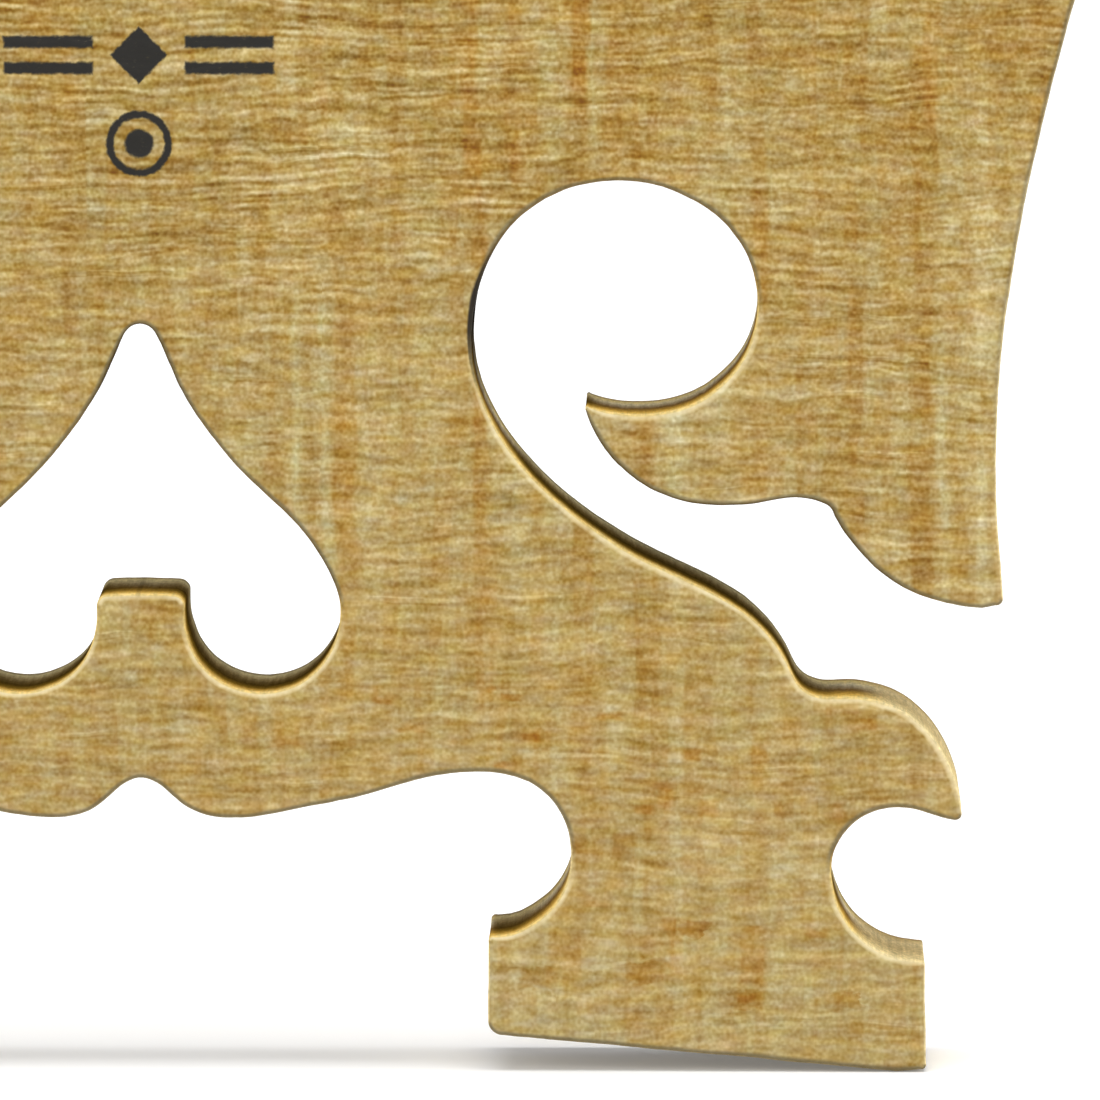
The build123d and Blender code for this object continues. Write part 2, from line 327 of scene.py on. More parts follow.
# --------------------------------------------------------------------------------------------------------------------
# the bridge mesh: both faces triangulated along the fibre, walls in rings, rounded edges of real size
# --------------------------------------------------------------------------------------------------------------------
def prepare(loop, seed):
    p, s = resample(loop)
    t = np.roll(p, -1, 0) - np.roll(p, 1, 0)
    t /= np.hypot(*t.T)[:, None]
    n = np.c_[t[:, 1], -t[:, 0]]  # into the wood
    return {"p": p, "s": s, "n": n, "seed": seed}


loops = [prepare(outer_fine, 11), prepare(heart_fine, 23)]
every = np.vstack([lp["p"] for lp in loops])

EDGE = 0.17
for lp in loops:
    p, n, s = lp["p"], lp["n"], lp["s"]
    r = np.full(len(p), 9.0)
    for a in range(0, len(p), 400):
        d = every[None] - p[a:a + 400, None]
        dot = (d * n[a:a + 400, None]).sum(2)
        sq = (d**2).sum(2)
        ok = (dot > 1e-6) & (sq > 1e-8)
        r[a:a + 400] = np.where(ok, sq / np.where(ok, 2 * dot, 1), 9.0).min(1)
    e = EDGE * (1 + 0.28 * vnoise(s * 0.55, 0.5, lp["seed"]) + 0.16 * vnoise(s * 2.1, 3.5, lp["seed"]))
    e = np.minimum(e, 0.6 * r)
    for _ in range(3):
        e = np.minimum(e, (np.roll(e, 1) + np.roll(e, -1)) / 2 + 0.01)
    e = np.minimum(smooth_loop(e, 2.0), 0.72 * r)
    lp["e"] = np.maximum(e, 0.008)

# places where the painted wall shade is made darker or lighter: x, z, reach, change
TOUCHES = [(8.7, 20.2, 1.6, 0.75), (18.6, 9.9, 0.9, -0.35), (13.9, 17.3, 2.5, 0.12), (10.5, 4.2, 1.2, 0.15), (8.9, 17.8, 0.9, 0.25), (16.9, 10.9, 0.9, 0.45), (18.0, 4.7, 1.0, 0.95), (9.1, 3.3, 0.4, 0.60)]

# how shut in each stretch of wall is: the share of directions, seen in the outline's own plane, that soon meet more wood
coarse = [lp["p"][::3] for lp in loops]
seg_a = np.vstack(coarse)
seg_b = np.vstack([np.roll(c, -1, 0) for c in coarse])
for lp in loops:
    idx = np.arange(0, len(lp["p"]), 4)
    o = lp["p"][idx] - 0.03 * lp["n"][idx]
    out = -lp["n"][idx]
    base = np.arctan2(out[:, 1], out[:, 0])
    total = np.zeros(len(idx))
    weight = 0.0
    for off in np.radians(np.arange(-80, 81, 10)):
        dx, dz = np.cos(base + off), np.sin(base + off)
        ex, ez = (seg_b - seg_a).T
        wx, wz = seg_a[None, :, 0] - o[:, 0:1], seg_a[None, :, 1] - o[:, 1:2]
        den = dx[:, None] * ez[None] - dz[:, None] * ex[None]
        den = np.where(np.abs(den) < 1e-9, 1e-9, den)
        tt = (wx * ez[None] - wz * ex[None]) / den
        uu = (wx * dz[:, None] - wz * dx[:, None]) / den
        hit = np.where((tt > 0.05) & (uu >= 0) & (uu <= 1), tt, 99.0).min(1)
        total += math.cos(off) * np.exp(-np.maximum(hit - 1.0, 0) / 5.0)
        weight += math.cos(off)
    full = np.interp(np.arange(len(lp["p"])), np.r_[idx, len(lp["p"])], np.r_[total / weight, total[0] / weight])
    full = smooth_loop(full, 4.0)
    # painted shade on the sawn wall: darker where it is shut in and light can't reach it, with a few places that differ
    t = np.clip((full - 0.33) / (0.55 - 0.33), 0, 1)
    dark = t * t * (3 - 2 * t)
    for x, z, reach, change in TOUCHES:
        d = np.hypot(np.abs(lp["p"][:, 0]) - x, lp["p"][:, 1] - z)
        dark = dark + change * np.exp(-((d / reach) ** 2))
    lp["char"] = np.clip(smooth_loop(dark, 3.0), 0, 1)
    lp["lift"] = -lp["n"][:, 1]
    # a darker stretch of wall around x 8.75, z 20, where the eye meets the S-curve
    d = np.hypot(np.abs(lp["p"][:, 0]) - 8.75, (lp["p"][:, 1] - 20.0) * 0.75)
    lp["soot"] = np.clip(smooth_loop(1.6 * np.exp(-((d / 1.15) ** 2)) * (0.75 + 0.5 * vnoise(lp["s"] * 1.7, 0.5, 77)), 3.0), 0, 1)

verts, quads, skin = [], [], []  # skin: 0 for the faces and their rounded edges, 1 for the sawn walls
attr = {"edge": [], "wall": [], "char": [], "lift": [], "soot": [], "deep": [], "run": []}


def add(xyz, **values):
    first = sum(len(v) for v in verts)
    verts.append(xyz)
    for k, rows in attr.items():
        v = values.get(k, 0.0)
        rows.append(np.broadcast_to(np.asarray(v, float), (len(xyz),)).copy())
    return first


ROUND, WALL = 4, 14
face_rings = {"front": [], "back": []}
for lp in loops:
    p, n, e, s, seed = lp["p"], lp["n"], lp["e"], lp["s"], lp["seed"]
    rings = []

    def ring(off, y, edge, wall, deep):
        # the saw leaves faint ridges that run through the thickness, and the cut wanders a little
        cut = 0.006 * vnoise(s * 3.1, y * 0.25, seed + 1) + 0.004 * vnoise(s * 7.3, y * 0.4, seed + 2)
        cut += 0.012 * vnoise(s * 0.9, y * 0.3, seed + 3)
        q = p + n * (off + np.minimum(cut + 0.012, 0.25 * lp["e"] + 0.02))[:, None]
        return add(np.c_[q[:, 0], y, q[:, 1]], edge=edge, wall=wall, char=lp["char"], lift=lp["lift"], soot=lp["soot"], deep=deep, run=s)

    phis = np.linspace(math.pi / 2, 0, ROUND + 1)
    for i, f in enumerate(phis):  # front face edge round to the wall
        off = e * (1 - math.cos(f))
        y = Y_FRONT + e * (1 - math.sin(f)) + 0.008 * math.sin(f)
        rings.append(ring(off, y, math.sin(2 * f) * 0.9 + 0.1 * math.sin(f), math.cos(f) ** 2, 0.0))
    yb = y_back(p[:, 1])
    for i in range(1, WALL):
        t = i / WALL
        t = t * t * (3 - 2 * t) * 0.5 + t * 0.5
        y = (Y_FRONT + e) * (1 - t) + (yb - e) * t
        rings.append(ring(0 * e, y, 0.0, 1.0, t))
    for i, f in enumerate(phis[::-1]):
        off = e * (1 - math.cos(f))
        y = yb - e * (1 - math.sin(f)) - 0.008 * math.sin(f)
        rings.append(ring(off, y, math.sin(2 * f) * 0.9 + 0.1 * math.sin(f), math.cos(f) ** 2, 1.0))
    m = len(p)
    i = np.arange(m)
    j = (i + 1) % m
    for k, (a, b) in enumerate(zip(rings, rings[1:])):
        quads.append(np.c_[a + i, a + j, b + j, b + i])
        skin.append(1 if ROUND <= k < ROUND + WALL else 0)
    face_rings["front"].append((rings[0], m))
    face_rings["back"].append((rings[-1], m))

flat = np.vstack(verts)


def inside(poly, pts):
    x0, z0 = poly.T
    x1, z1 = np.roll(poly, -1, 0).T
    res = np.zeros(len(pts), bool)
    for a in range(0, len(pts), 4000):
        q = pts[a:a + 4000]
        c = (z0[None] > q[:, 1:2]) != (z1[None] > q[:, 1:2])
        den = np.where(np.abs(z1 - z0) < 1e-12, 1e-12, z1 - z0)
        cross = q[:, 0:1] < (x1 - x0)[None] * (q[:, 1:2] - z0[None]) / den[None] + x0[None]
        res[a:a + 4000] = (c & cross).sum(1) % 2 == 1
    return res


DX, DZ = 0.60, 0.17
rng = np.random.default_rng(7)
gx, gz = np.meshgrid(np.arange(-25, 25, DX), np.arange(0, 36.7, DZ))
gx = gx + (np.arange(gx.shape[0])[:, None] % 2) * DX / 2 + rng.uniform(-0.06, 0.06, gx.shape)
gz = gz + rng.uniform(-0.02, 0.02, gz.shape)
grid = np.vstack([figure_points(), np.c_[gx.ravel(), gz.ravel()]])
_, first_in_cell = np.unique(np.round(grid / (0.055, 0.045)).astype(int), axis=0, return_index=True)
grid = grid[np.sort(first_in_cell)]
borders = [flat[first:first + m][:, [0, 2]] for first, m in face_rings["front"]]
grid = grid[inside(borders[0], grid) & ~inside(borders[1], grid)]
near = np.vstack(borders)
gap = np.empty(len(grid))
for a in range(0, len(grid), 2000):
    d = grid[a:a + 2000, None] - near[None]
    gap[a:a + 2000] = np.sqrt((d**2).sum(2).min(1))
grid = grid[gap > 0.11]

coords = [Vector(c) for c in np.vstack([near, grid])]
edges, start = [], 0
for first, m in face_rings["front"]:
    edges += [(start + k, start + (k + 1) % m) for k in range(m)]
    start += m
cv, _, cf, origin, _, _ = delaunay_2d_cdt(coords, edges, [], 0, 1e-7)
tri = np.array([f for f in cf if len(f) == 3])
cv = np.array([(v.x, v.y) for v in cv])
mid = cv[tri].mean(1)
tri = tri[inside(borders[0], mid) & ~inside(borders[1], mid)]
source = np.array([o[0] if o else -1 for o in origin])
assert (source[np.unique(tri)] >= 0).all()
tri = source[tri]

ring_count = len(near)
for side in ("front", "back"):
    ids = np.concatenate([first + np.arange(m) for first, m in face_rings[side]])
    if side == "front":
        y = Y_FRONT - relief(grid[:, 0], grid[:, 1], 40)
    else:
        y = y_back(grid[:, 1]) + relief(grid[:, 0], grid[:, 1], 60)
    first = add(np.c_[grid[:, 0], y, grid[:, 1]])
    table = np.concatenate([ids, first + np.arange(len(grid))])
    faces = table[tri]
    if side == "back":
        faces = faces[:, ::-1]
    quads.append(faces)
    skin.append(0)

xyz = np.vstack(verts)
attr["dark"], attr["warm"] = ([v] for v in figure(xyz[:, 0], xyz[:, 2]))
xyz = xyz * MM
mesh = bpy.data.meshes.new("bridge_wood")
polys = [f for block in quads for f in block.tolist()]
mesh.from_pydata(xyz.tolist(), [], polys)
for k, rows in attr.items():
    a = mesh.attributes.new(k, "FLOAT", "POINT")
    a.data.foreach_set("value", np.concatenate(rows).astype(np.float32))
mesh.polygons.foreach_set("use_smooth", np.ones(len(mesh.polygons), bool))
mesh.polygons.foreach_set("material_index", np.concatenate([np.full(len(q), k) for q, k in zip(quads, skin)]).astype(np.int32))
mesh.update()
bridge = bpy.data.objects.new("bridge_wood", mesh)
bpy.context.scene.collection.objects.link(bridge)

# --------------------------------------------------------------------------------------------------------------------
# materials
# --------------------------------------------------------------------------------------------------------------------
class Nodes:
    """Short names for building a node tree."""

    def __init__(self, name):
        self.mat = bpy.data.materials.new(name)
        self.mat.use_nodes = True
        self.tree = self.mat.node_tree
        self.tree.nodes.clear()

    def put(self, socket, value):
        if isinstance(value, bpy.types.NodeSocket):
            self.tree.links.new(value, socket)
        elif value is not None:
            socket.default_value = value

    def node(self, kind, **props):
        n = self.tree.nodes.new(kind)
        for k, v in props.items():
            setattr(n, k, v)
        return n

    def m(self, op, a, b=None, c=None, clamp=False):
        n = self.node("ShaderNodeMath", operation=op, use_clamp=clamp)
        for s, v in zip(n.inputs, (a, b, c)):
            self.put(s, v)
        return n.outputs[0]

    def v(self, op, a, b=None, scale=None):
        n = self.node("ShaderNodeVectorMath", operation=op)
        self.put(n.inputs[0], a)
        if b is not None:
            self.put(n.inputs[1], b)
        if scale is not None:
            self.put(n.inputs["Scale"], scale)
        return n.outputs["Value"] if op in ("LENGTH", "DOT_PRODUCT", "DISTANCE") else n.outputs[0]

    def xyz(self, x, y, z):
        n = self.node("ShaderNodeCombineXYZ")
        for s, v in zip(n.inputs, (x, y, z)):
            self.put(s, v)
        return n.outputs[0]

    def noise(self, vector, scale=1.0, detail=2.0, rough=0.5, w=None, lac=2.0):
        n = self.node("ShaderNodeTexNoise", noise_dimensions="4D" if w is not None else "3D")
        self.put(n.inputs["Vector"], vector)
        n.inputs["Scale"].default_value = scale
        n.inputs["Detail"].default_value = detail
        n.inputs["Roughness"].default_value = rough
        n.inputs["Lacunarity"].default_value = lac
        if w is not None:
            self.put(n.inputs["W"], w)
        return n.outputs[0]

    def step(self, value, lo, hi, out_lo=0.0, out_hi=1.0):
        n = self.node("ShaderNodeMapRange", interpolation_type="SMOOTHSTEP", clamp=False)
        for s, v in zip(n.inputs, (value, lo, hi, out_lo, out_hi)):
            self.put(s, v)
        return n.outputs[0]

    def attribute(self, name):
        n = self.node("ShaderNodeAttribute", attribute_type="GEOMETRY", attribute_name=name)
        return n.outputs["Fac"]

    def mix(self, fac, a, b):
        n = self.node("ShaderNodeMix", data_type="RGBA", blend_type="MIX")
        self.put(n.inputs[0], fac)
        self.put(n.inputs[6], a)
        self.put(n.inputs[7], b)
        return n.outputs[2]

    def ramp(self, fac, stops, kind="EASE"):
        n = self.node("ShaderNodeValToRGB")
        r = n.color_ramp
        r.interpolation = kind
        r.elements[0].position, r.elements[0].color = stops[0][0], (*stops[0][1], 1)
        r.elements[1].position, r.elements[1].color = stops[-1][0], (*stops[-1][1], 1)
        for pos, col in stops[1:-1]:
            r.elements.new(pos).color = (*col, 1)
        self.put(n.inputs[0], fac)
        return n.outputs[0]


def srgb(r, g, b):
    """A colour given as 0 to 255 display values, as a plain 0 to 1 vector; the tree turns it linear at the end."""
    return (r / 255, g / 255, b / 255)


def band_stops(low, high, rows):
    """rows of (x in mm, darkness, warmth); 0.5 is neutral."""
    return [((x - low) / (high - low), (0.5 - 0.5 * d, 0.5 + 0.5 * w, 0)) for x, d, w in rows]


g = Nodes("quarter_sawn_maple")
pos = g.node("ShaderNodeTexCoord").outputs["Object"]
P = g.v("SCALE", pos, scale=1000.0)
sep = g.node("ShaderNodeSeparateXYZ")
g.put(sep.inputs[0], P)
X, Y, Z = sep.outputs

# slow and quick wander of the fibre
slow = g.noise(g.v("MULTIPLY", P, (0.11, 0.25, 0.2)), detail=1)
quick = g.noise(g.v("MULTIPLY", P, (0.75, 0.8, 0.8)), detail=2)
zz = g.m("ADD", Z, g.m("MULTIPLY_ADD", slow, 1.5, g.m("MULTIPLY", quick, 0.24)))

# the figure: upright strips about a millimetre wide, in which the fibre tips towards and away from the face
wob = g.noise(g.v("MULTIPLY", P, (0.2, 0.25, 0.22)), detail=2)
xw = g.m("ADD", X, g.m("MULTIPLY_ADD", wob, 0.5, -0.25))
cells = g.node("ShaderNodeTexVoronoi", voronoi_dimensions="1D", feature="F1")
g.put(cells.inputs["W"], g.m("ADD", xw, 40.0))
cells.inputs["Scale"].default_value = 0.85
cells.inputs["Randomness"].default_value = 1.0
strip = g.node("ShaderNodeSeparateColor")
g.put(strip.inputs[0], cells.outputs["Color"])
strip_a, strip_b, strip_c = strip.outputs

right_rows = [(-3.1, .35, .3), (-2.3, -.3, 0), (-1.8, .4, .3), (-1.5, -.45, 0), (-1.0, .35, .1), (0.86, .35, .1), (1.07, -.35, 0),
              (1.93, .4, .1), (2.7, -.35, 0), (3.05, .45, .2), (4.0, -.5, 0), (4.35, .55, .35), (4.62, -.5, 0), (5.15, .5, .35),
              (5.7, -.35, 0), (6.7, .3, .25), (7.35, -.3, 0), (7.9, -.3, 0), (8.65, .55, .65), (9.1, -.3, 0), (9.66, .75, .6),
              (9.95, -.55, 0), (10.8, -.35, 0), (11.35, .55, .65), (12.1, -.6, 0), (13.0, .6, .6), (13.95, -.6, 0),
              (14.75, .5, .35), (15.3, -.5, 0), (16.06, .35, .5), (16.4, -.2, 0)]
right_rows2 = [(16.4, -.2, 0), (17.1, .4, .1), (17.75, -.35, 0), (18.7, .4, .3), (19.3, -.3, 0), (19.95, -.4, 0), (20.13, .9, .8),
               (20.5, .8, .8), (20.66, -.3, 0), (20.85, -.75, 0), (21.1, .2, .1), (21.9, -.6, 0), (22.5, .4, .35), (23.0, -.4, 0),
               (23.4, .5, .6), (24.0, -.3, 0), (24.6, .4, .3), (25.2, 0, 0)]
left_rows = [(-25.2, 0, 0), (-24.3, .4, .3), (-23.7, -.4, 0), (-22.9, .35, .3), (-22.1, -.5, 0), (-21.2, .5, .5), (-20.4, -.3, 0),
             (-19.5, .75, .7), (-19.1, -.6, 0), (-18.0, .3, .2), (-17.2, -.35, 0), (-16.1, .5, .4), (-15.2, -.4, 0), (-14.3, .3, .3),
             (-13.4, -.5, 0), (-12.6, .7, .7), (-12.0, -.5, 0), (-10.9, .4, .3), (-9.9, -.4, 0), (-9.0, .55, .6), (-8.3, -.3, 0),
             (-7.2, .35, .3), (-6.4, -.45, 0), (-5.5, .5, .4), (-4.8, -.35, 0), (-3.9, .2, .1), (-3.1, .35, .3)]


def bands(rows):
    lo, hi = rows[0][0], rows[-1][0]
    n = g.node("ShaderNodeMapRange")
    for s, v in zip(n.inputs, (xw, lo, hi, 0.0, 1.0)):
        g.put(s, v)
    return g.ramp(n.outputs[0], band_stops(lo, hi, rows))


b1, b2, b3 = bands(left_rows), bands(right_rows), bands(right_rows2)
band = g.mix(g.m("GREATER_THAN", xw, -3.1), b1, g.mix(g.m("GREATER_THAN", xw, 16.4), b2, b3))
bs = g.node("ShaderNodeSeparateColor")
g.put(bs.inputs[0], band)
band_light = g.m("MULTIPLY_ADD", bs.outputs[0], 2.0, -1.0)
band_warm = g.m("MULTIPLY_ADD", bs.outputs[1], 2.0, -1.0)
patchy = g.step(g.noise(g.v("MULTIPLY", P, (0.5, 0.5, 0.75)), detail=2, w=g.m("MULTIPLY", strip_a, 3.0)), 0.36, 0.64, 0.45, 1.35)

figure_dark, figure_warm = g.attribute("dark"), g.attribute("warm")

# fibre: thin streaks of several sizes, cut and shifted a little from strip to strip
zs = g.m("MULTIPLY_ADD", strip_a, 0.05, zz)
w4 = g.m("MULTIPLY", strip_b, 0.14)
up = g.step(Z, 3.0, 26.0)  # the relief of the fibre is stronger towards the top
crest = g.m("MULTIPLY", g.step(Z, 18.0, 25.0), g.step(g.m("ABSOLUTE", X), 17.0, 7.0))  # and strongest above the heart


def octave(sx, sy, sz, w=0.0, gain=8.0, line=None):
    n = g.noise(g.xyz(g.m("MULTIPLY", X, sx), g.m("MULTIPLY", Y, sy), g.m("MULTIPLY", line or zs, sz)), detail=0, w=g.m("ADD", w4, w))
    return g.m("MULTIPLY_ADD", n, gain, -gain / 2)


def total(*terms):
    out = None
    for socket, weight in terms:
        term = g.m("MULTIPLY", socket, weight)
        out = term if out is None else g.m("ADD", out, term)
    return out


o1 = octave(0.22, 1.3, 1.6, 0.0)
o2 = octave(0.24, 2.2, 2.8, 3.0)
o3 = octave(1.0, 5.0, 6.3, 5.0)
o4 = octave(0.30, 5.0, 5.2, 9.0)
o5 = octave(0.42, 5.0, 7.2, 15.0)
o6 = octave(2.2, 6.0, 6.0, 21.0)
fine = octave(5.0, 7.0, 6.5, 27.0, line=Z)
dots = octave(10.5, 10.0, 10.5, 33.0, line=Z)
fibre = total((o1, 0.06), (o2, 0.11), (o3, 0.25), (o4, 0.32), (o5, g.m("MULTIPLY_ADD", crest, 0.48, 0.12)), (o6, 0.28),
              (fine, 0.16), (dots, g.m("MULTIPLY_ADD", up, 0.05, 0.42)))

# the rows of fibre, about four or five to the millimetre, which come and go
sway = g.noise(g.xyz(g.m("MULTIPLY", X, 0.55), g.m("MULTIPLY", Y, 1.0), g.m("MULTIPLY", zs, 0.9)), detail=2, rough=0.6, w=w4)
row = g.m("SINE", g.m("MULTIPLY", g.m("MULTIPLY_ADD", zs, 4.55, g.m("MULTIPLY", sway, 3.6)), 6.2832))
row_amp = g.step(g.noise(g.v("MULTIPLY", P, (0.7, 0.7, 0.9)), detail=1), 0.30, 0.66, 0.25, 1.25)
row = g.m("MULTIPLY", row, row_amp)
fibre = g.m("ADD", fibre, g.m("MULTIPLY", row, g.m("MULTIPLY_ADD", up, 0.26, 0.20)))


def thread(shift):
    """Long thin fibres: narrow lines that follow one level of a stretched noise."""
    z_ = g.m("ADD", zs, shift)
    n = g.noise(g.xyz(g.m("MULTIPLY", X, 0.20), g.m("MULTIPLY", Y, 1.5), g.m("MULTIPLY", z_, 1.9)), detail=1, rough=0.40, w=w4)
    return g.step(g.m("ABSOLUTE", g.m("SUBTRACT", n, 0.5)), 0.060, 0.012)


# paler fibre lines, partly a painted highlight on a raised fibre lit from above, each with a line of painted shade just
# below it
fade = g.step(g.noise(g.xyz(g.m("MULTIPLY", X, 0.60), g.m("MULTIPLY", Y, 2.0), g.m("MULTIPLY", zs, 2.4)), detail=1, w=g.m("ADD", w4, 13.0)), 0.44, 0.62)
fibre_line_and_highlight = g.m("MULTIPLY", thread(0.0), fade)
fibre_shade_line = g.m("MULTIPLY", thread(0.13), fade)

# the upright figure also has finer lines of its own
up_a = g.noise(g.xyz(g.m("MULTIPLY", xw, 1.9), g.m("MULTIPLY", Y, 0.3), g.m("MULTIPLY", Z, 0.22)), detail=0)
up_b = g.noise(g.xyz(g.m("MULTIPLY", xw, 4.2), g.m("MULTIPLY", Y, 0.3), g.m("MULTIPLY", Z, 0.60)), detail=0)
up_a = g.step(up_a, 0.42, 0.58, -1.0, 1.0)
up_b = g.step(up_b, 0.40, 0.60, -1.0, 1.0)

# ray flecks: a dark dash wherever a dark fibre crosses a warm strip, and a few larger soft ones lower down
down = g.m("MAXIMUM", g.m("MULTIPLY", g.m("ADD", g.m("ADD", o2, o3), g.m("MULTIPLY", up_a, 0.7)), -1.0), 0.0)
in_band = g.m("MAXIMUM", g.m("MULTIPLY", band_light, -1.0), 0.0)
cross = g.m("MULTIPLY", g.m("MULTIPLY", down, in_band), 0.55)
rays = g.node("ShaderNodeTexVoronoi", voronoi_dimensions="3D", feature="F1", distance="CHEBYCHEV")
ragged = g.m("MULTIPLY_ADD", g.noise(g.v("MULTIPLY", P, (3.0, 3.0, 5.0)), detail=2), 0.8, -0.4)
g.put(rays.inputs["Vector"], g.xyz(g.m("MULTIPLY_ADD", ragged, 0.5, g.m("MULTIPLY", xw, 0.75)), g.m("MULTIPLY", Y, 1.2), g.m("ADD", g.m("MULTIPLY", zz, 1.25), ragged)))
rays.inputs["Scale"].default_value = 1.0
rays.inputs["Randomness"].default_value = 0.9
rc = g.node("ShaderNodeSeparateColor")
g.put(rc.inputs[0], rays.outputs["Color"])
near_ray = g.step(rays.outputs["Distance"], 0.42, 0.20)
pick = g.step(rc.outputs[0], 0.80, 0.90)
low_down = g.step(Z, 14.0, 5.0, 0.12, 1.0)
fleck = g.m("MULTIPLY", g.m("MULTIPLY", near_ray, pick), low_down)

# slow blotches, and colour that wanders between olive and pinkish cream
blot = g.noise(g.v("MULTIPLY", P, (0.28, 0.3, 0.38)), detail=3, rough=0.55)
vblot = g.m("MULTIPLY_ADD", blot, 5.0, -2.5)
vhue = g.m("MULTIPLY_ADD", g.noise(g.v("MULTIPLY", P, (1.0, 1.5, 2.4)), detail=1, rough=0.6), 8.0, -4.0)
vsat = g.m("MULTIPLY_ADD", g.noise(g.v("MULTIPLY", P, (1.4, 2.5, 3.4)), detail=1, rough=0.6), 9.0, -4.5)

amp = g.m("MULTIPLY_ADD", up, 0.20, 0.86)
patchy_too = g.m("MULTIPLY_ADD", patchy, 0.5, 0.5)
V = g.m("ADD", fibre, g.m("SUBTRACT", g.m("MULTIPLY", fibre_line_and_highlight, 0.85), g.m("MULTIPLY", fibre_shade_line, 0.85)))
V = g.m("MULTIPLY", V, amp)
V = g.m("ADD", V, g.m("MULTIPLY", g.m("MULTIPLY", band_light, patchy), 0.26))
V = g.m("SUBTRACT", V, g.m("MULTIPLY", g.m("MULTIPLY", figure_dark, patchy_too), 0.80))
V = g.m("ADD", V, g.m("ADD", g.m("MULTIPLY", up_a, 0.14), g.m("MULTIPLY", up_b, 0.16)))
V = g.m("ADD", V, g.m("MULTIPLY", vblot, 0.07))
V = g.m("ADD", V, g.m("MULTIPLY_ADD", strip_c, 0.26, -0.13))
V = g.m("SUBTRACT", V, g.m("ADD", g.m("MULTIPLY", cross, 0.8), g.m("MULTIPLY", fleck, 1.1)))
warm = g.m("MULTIPLY", g.m("MULTIPLY", figure_warm, patchy_too), 1.25)
warm = g.m("ADD", g.m("MULTIPLY_ADD", g.m("MULTIPLY", band_warm, patchy), 0.55, warm), g.m("ADD", g.m("MULTIPLY", vhue, 0.40), g.m("MULTIPLY", fleck, 1.0)))
warm = g.m("ADD", warm, g.m("MULTIPLY", g.m("ADD", up_a, up_b), -0.22))

base = g.ramp(g.m("DIVIDE", Z, 30.0), [(at, srgb(*rgb)) for at, rgb in (
    (0.05, (175, 152, 97)), (0.22, (170, 145, 89)), (0.36, (168, 142, 84)), (0.62, (170, 145, 88)), (0.86, (165, 137, 76)))], kind="LINEAR")
col = g.v("ADD", base, g.v("SCALE", srgb(14, 16.4, 18.6), scale=V))
col = g.v("ADD", col, g.v("SCALE", srgb(3.2, -3.0, -6.6), scale=warm))
col = g.v("ADD", col, g.v("SCALE", srgb(1.0, 0.0, -5.0), scale=vsat))

# the sawn walls, coloured with painted shade and light: amber just inside the front edge, then brown painted shade,
# darkest where they are shut in, and tan near the back where painted light from behind falls.
# Edges that face up are rubbed pale and carry a painted highlight, and edges that face down get painted shade as dark
# as the wall behind them.
edge = g.attribute("edge")
wall = g.attribute("wall")
char = g.attribute("char")
lift = g.attribute("lift")
deep = g.attribute("deep")
run = g.attribute("run")
saw = g.noise(g.xyz(g.m("MULTIPLY", run, 5.5), g.m("MULTIPLY", Y, 0.35), 0.0), detail=3, rough=0.65)
# painted shade: walls that face down are darker
faces_down_shade = g.step(lift, 0.10, -0.45)
t = g.m("ADD", deep, g.m("ADD", g.m("MULTIPLY_ADD", saw, 0.16, -0.08), g.m("MULTIPLY", faces_down_shade, 0.22)))


def wall_ramp(*rows):
    return g.ramp(t, [(at, srgb(*rgb)) for at, rgb in rows], kind="LINEAR")


# painted shade across the wall's depth, for walls that are shut in, half open and open
closed = wall_ramp((0.0, (234, 204, 124)), (0.10, (196, 156, 76)), (0.22, (122, 95, 36)), (0.38, (84, 66, 28)),
                   (0.55, (116, 96, 58)), (0.72, (164, 145, 102)), (0.88, (192, 178, 134)), (1.0, (112, 98, 70)))
half = wall_ramp((0.0, (236, 208, 130)), (0.12, (218, 176, 86)), (0.26, (180, 140, 64)), (0.40, (134, 104, 62)),
                 (0.55, (182, 164, 132)), (0.70, (228, 214, 176)), (0.86, (220, 198, 134)), (1.0, (134, 108, 64)))
bare = wall_ramp((0.0, (238, 218, 162)), (0.15, (226, 204, 148)), (0.45, (222, 198, 142)), (0.75, (230, 208, 156)),
                 (0.92, (204, 178, 124)), (1.0, (136, 112, 72)))
wall_col_and_shade = g.mix(g.step(char, 0.0, 0.5), bare, g.mix(g.step(char, 0.5, 1.0), half, closed))
teeth = g.noise(g.xyz(g.m("MULTIPLY", run, 17.0), g.m("MULTIPLY", Y, 1.1), 3.0), detail=2, rough=0.6)  # marks of single saw teeth
pores = g.m("MULTIPLY_ADD", dots, 0.030, g.m("MULTIPLY", fine, 0.022))
wall_col_and_shade = g.v("SCALE", wall_col_and_shade, scale=g.m("ADD", g.m("MULTIPLY_ADD", saw, 0.36, 0.70), g.m("MULTIPLY_ADD", teeth, 0.24, pores)))
wall_col_and_shade = g.v("SCALE", wall_col_and_shade, scale=g.m("MULTIPLY_ADD", faces_down_shade, -0.38, 1.0))
soot = g.attribute("soot")
# the walls in that stretch go nearly black, and their dark colour reaches further onto the rounded edge
wall_col_and_shade = g.mix(g.m("MULTIPLY", soot, 0.92), wall_col_and_shade, (*srgb(30, 26, 22), 1))
wall_mask = g.step(wall, g.m("MULTIPLY_ADD", soot, -0.33, 0.35), g.m("MULTIPLY_ADD", soot, -0.75, 0.95))
wall_mask = g.m("MULTIPLY", wall_mask, g.step(Z, 29.8, 30.6, 1.0, 0.22))  # the string edge is planed along the fibre, so its fibre shows
